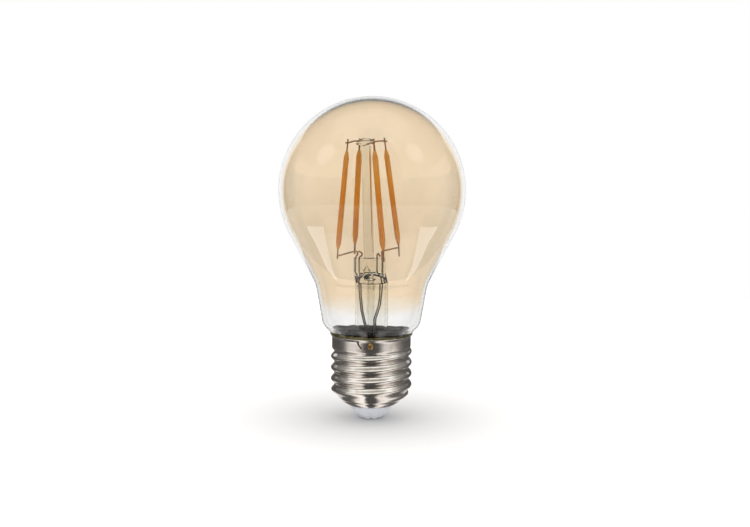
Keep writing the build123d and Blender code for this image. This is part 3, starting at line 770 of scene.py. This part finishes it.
def coat_material():
    """Silicone with phosphor over a filament: warm orange, paler high up, darker in thin streaks."""
    material, graph = new_material("phosphor")
    streaks = graph.noise(500, stretch=(1, 1, 0.25))
    grain = graph.noise(2600, detail=5.0)
    deep, warm = (0.86, 0.32, 0.008, 1), (0.96, 0.43, 0.018, 1)
    speck, pale = (0.58, 0.20, 0.010, 1), (0.86, 0.56, 0.20, 1)
    tone = graph.mix(graph.remap(streaks, 0.35, 0.68), deep, warm)
    tone = graph.mix(graph.remap(grain, 0.55, 0.75, 0.0, 0.35), tone, speck)
    high = graph.remap(graph.height(), 66 * MM, 88 * MM, 0.0, 0.5)
    graph.principled({
        "Base Color": graph.mix(high, tone, pale),
        "Roughness": graph.remap(grain, 0.3, 0.7, 0.55, 0.38),
        "Normal": graph.bump(grain, 0.35),
        "Subsurface Weight": 0.25,
        "Subsurface Radius": (1.0, 0.4, 0.1),
        "Subsurface Scale": 0.0006,
    })
    return material


def cap_metal_material():
    """Nickel plate over rolled brass: fine rolling lines round the cap, small stains and a warm cast."""
    material, graph = new_material("nickel_plate")
    lines = graph.noise(900, detail=4.0, stretch=(0.05, 0.05, 1.0))
    stains = graph.noise(260, detail=5.0)
    plate, stain, scratch = (0.78, 0.745, 0.70, 1), (0.62, 0.57, 0.51, 1), (0.45, 0.40, 0.34, 1)
    tone = graph.mix(graph.remap(stains, 0.45, 0.72), plate, stain)
    graph.principled({
        "Base Color": graph.mix(graph.remap(lines, 0.6, 0.8, 0.0, 0.3), tone, scratch),
        "Roughness": graph.remap(graph.math("ADD", lines, stains), 0.8, 1.2, 0.17, 0.27),
        "Metallic": 1.0,
        "Normal": graph.bump(lines, 0.10),
    })
    return material


def cement_material():
    """Olive-yellow resin cement, mottled and fairly glossy: its own pale olive colour above the lip, and
    painted shade below it, inside the cap, where it is darkened to nearly black.
    """
    material, graph = new_material("cement")
    mottle = graph.noise(420, detail=5.0)
    spread = graph.remap(mottle, 0.35, 0.65)
    # the pale tones are the cement's own colour; the dark tones are painted shade for the inside of the
    # cap, below the lip
    pale = graph.mix(spread, (0.085, 0.07, 0.014, 1), (0.26, 0.22, 0.07, 1))
    dark = graph.mix(spread, (0.010, 0.009, 0.005, 1), (0.026, 0.023, 0.013, 1))
    above_painted_shade = graph.remap(graph.height(), 27.75 * MM, 28.15 * MM)
    graph.principled({
        "Base Color": graph.mix(above_painted_shade, dark, pale),
        "Roughness": graph.remap(mottle, 0.3, 0.7, 0.22, 0.5),
        "Normal": graph.bump(mottle, 0.5, 0.0002),
        "Specular IOR Level": 0.3,
    })
    return material


# ---------------------------------------------------------------- materials by CAD node
CLEAR = (0.96, 0.96, 0.94)
# painted shade: the dark brown that the stem's glass pieces turn to at their rims
BROWN_PAINTED_EDGE_SHADE = (0.26, 0.20, 0.13)
AMBER_LOW = (0.83, 0.645, 0.43)
AMBER_HIGH = (0.965, 0.765, 0.53)


def dress(node_names, material):
    for name in node_names:
        mesh = nodes[name].data
        mesh.materials.clear()
        mesh.materials.append(material)


def dress_glass():
    """The envelope, clear outside with an amber film inside, and the stem's glass pieces."""
    # painted shade: the outer glass darkens to a grey outline towards the bulb's rim
    outside = glass_material("clear_glass_outside", (0.965, 0.975, 0.965), wander=0.01, ripple=0.0,
                             edge=(0.62, 0.60, 0.55), painted_edge_shade_span=(0.8, 1.0))
    film = glass_material("amber_film", (0.875, 0.875, 0.885), ripple=0.0,
                          fades=((35.5, 40.5, AMBER_LOW), (62, 80, AMBER_HIGH)))
    # painted shade: the flare's glass is dark grey-brown below the cap's top, inside the cap, and clear
    # above it
    flare = glass_material("flare_glass", (0.45, 0.43, 0.36), ((26.5, 28.5, CLEAR),), wander=0.03,
                           edge=BROWN_PAINTED_EDGE_SHADE, ior=1.25)
    tube = glass_material("tube_glass", CLEAR, wander=0.03, edge=BROWN_PAINTED_EDGE_SHADE, ior=1.45)
    # painted shade: the rod darkens to brown at its edges
    rod = glass_material("rod_glass", (0.90, 0.89, 0.84), wander=0.04, edge=(0.42, 0.34, 0.2), ior=1.38)
    bead = glass_material("bead_glass", (0.90, 0.90, 0.86), wander=0.04, ior=1.4)
    pinch = glass_material("pinch_glass", (0.92, 0.91, 0.86), wander=0.06, ripple=0.1,
                           edge=BROWN_PAINTED_EDGE_SHADE, ior=1.33)
    make_bulb_glass(outside, film)
    dress(["stem_flare_tube"], flare)
    dress(["exhaust_tube"], tube)
    dress(["support_rod"], rod)
    dress(["rod_bead"], bead)
    dress(["stem_pinch"], pinch)


def dress_mount():
    """Filaments and wires inside the glass."""
    wire = wire_material("brown_wire", (0.52, 0.29, 0.12), (0.24, 0.13, 0.05))
    lead = wire_material("lead_wire", (0.13, 0.075, 0.032), (0.045, 0.026, 0.013))
    dumet = wire_material("dumet", (0.40, 0.21, 0.10), (0.18, 0.09, 0.05))
    neutral = wire_material("neutral_lead", (0.07, 0.045, 0.025), (0.02, 0.014, 0.009))
    tab = wire_material("tab_steel", (0.54, 0.30, 0.12), (0.25, 0.14, 0.055))
    ceramic = solid_material("filament_ceramic", (0.85, 0.83, 0.80), (0.78, 0.76, 0.72), (0.5, 0.7))
    die = solid_material("led_die", (0.5, 0.5, 0.6), (0.4, 0.4, 0.5), (0.2, 0.3), grain=3000)
    by_ending = {"_phosphor": coat_material(), "_end_tabs": tab, "_substrate": ceramic, "_led_chips": die}
    for ending, material in by_ending.items():
        dress([name for name in nodes if name.endswith(ending)], material)
    dress([name for name in nodes if name.startswith(("carrier_wire", "hook_wire", "top_wire"))], wire)
    dress([name for name in nodes if name.startswith("lower_lead")], lead)
    dress(["dumet_seals"], dumet)
    dress(["neutral_wire"], neutral)


def dress_cap():
    """Shell, insulator, end contact, cement and solder."""
    white = solid_material("white_insulator", (0.83, 0.86, 0.90), (0.78, 0.81, 0.86), (0.45, 0.6),
                           grain=500, gloss=0.3)
    contact = solid_material("contact_metal", (0.82, 0.81, 0.80), (0.70, 0.69, 0.67), (0.25, 0.4), 1.0)
    solder = solid_material("solder", (0.52, 0.33, 0.13), (0.20, 0.12, 0.045), (0.25, 0.5), 0.8,
                            grain=1400, bump=0.5)
    make_cap_shell(cap_metal_material())
    make_cap_insulator(white)
    make_cap_contact(contact)
    make_cement_bead(cement_material())
    dress(["side_contact_solder"], solder)


# the driver and the radio inside the cap: name, light tone, dark tone, roughness, metal, CAD nodes
DRIVER_MATERIALS = (
    ("circuit_board", (0.03, 0.11, 0.05), (0.015, 0.06, 0.03), (0.35, 0.55), 0.0,
     ("driver_board", "radio_board")),
    ("liner_film", (0.03, 0.03, 0.028), (0.015, 0.015, 0.014), (0.4, 0.6), 0.0,
     ("insulating_liner",)),
    ("capacitor_sleeve", (0.02, 0.03, 0.08), (0.01, 0.015, 0.045), (0.25, 0.4), 0.0,
     ("capacitor_can",)),
    ("bung_rubber", (0.05, 0.045, 0.04), (0.025, 0.022, 0.02), (0.6, 0.8), 0.0,
     ("capacitor_bung",)),
    ("ferrite", (0.06, 0.058, 0.056), (0.03, 0.03, 0.03), (0.5, 0.75), 0.0,
     ("inductor_core",)),
    ("copper_winding", (0.62, 0.25, 0.10), (0.38, 0.13, 0.05), (0.25, 0.4), 0.9,
     ("inductor_winding",)),
    ("choke_lacquer", (0.10, 0.16, 0.08), (0.05, 0.09, 0.04), (0.3, 0.45), 0.0,
     ("filter_choke",)),
    ("tinned_wire", (0.62, 0.61, 0.58), (0.42, 0.41, 0.39), (0.3, 0.5), 1.0,
     ("choke_leads", "live_wires")),
    ("chip_resin", (0.022, 0.022, 0.024), (0.01, 0.01, 0.011), (0.45, 0.65), 0.0,
     ("bridge_rectifier", "driver_ic", "radio_chip")),
    ("chip_ceramic", (0.32, 0.24, 0.16), (0.18, 0.13, 0.09), (0.4, 0.6), 0.0,
     ("chip_passives",)),
    ("crystal_can", (0.66, 0.65, 0.62), (0.5, 0.49, 0.47), (0.2, 0.35), 1.0,
     ("radio_crystal",)),
    ("gold_track", (0.70, 0.48, 0.18), (0.5, 0.33, 0.12), (0.25, 0.4), 1.0,
     ("radio_antenna", "radio_pins")),
    ("resistor_paint", (0.10, 0.22, 0.12), (0.05, 0.12, 0.07), (0.3, 0.5), 0.0,
     ("fusible_resistor",)),
    ("glass_fibre_sleeve", (0.70, 0.68, 0.62), (0.55, 0.53, 0.48), (0.6, 0.8), 0.0,
     ("resistor_sleeve",)),
)


def dress_driver():
    for name, light, dark, roughness, metallic, node_names in DRIVER_MATERIALS:
        dress(node_names, solid_material(name, light, dark, roughness, metallic))


add_camera()
add_world()
add_floor()
add_cards()
add_overhead_card()
add_side_cards()
dress_glass()
dress_mount()
dress_cap()
dress_driver()
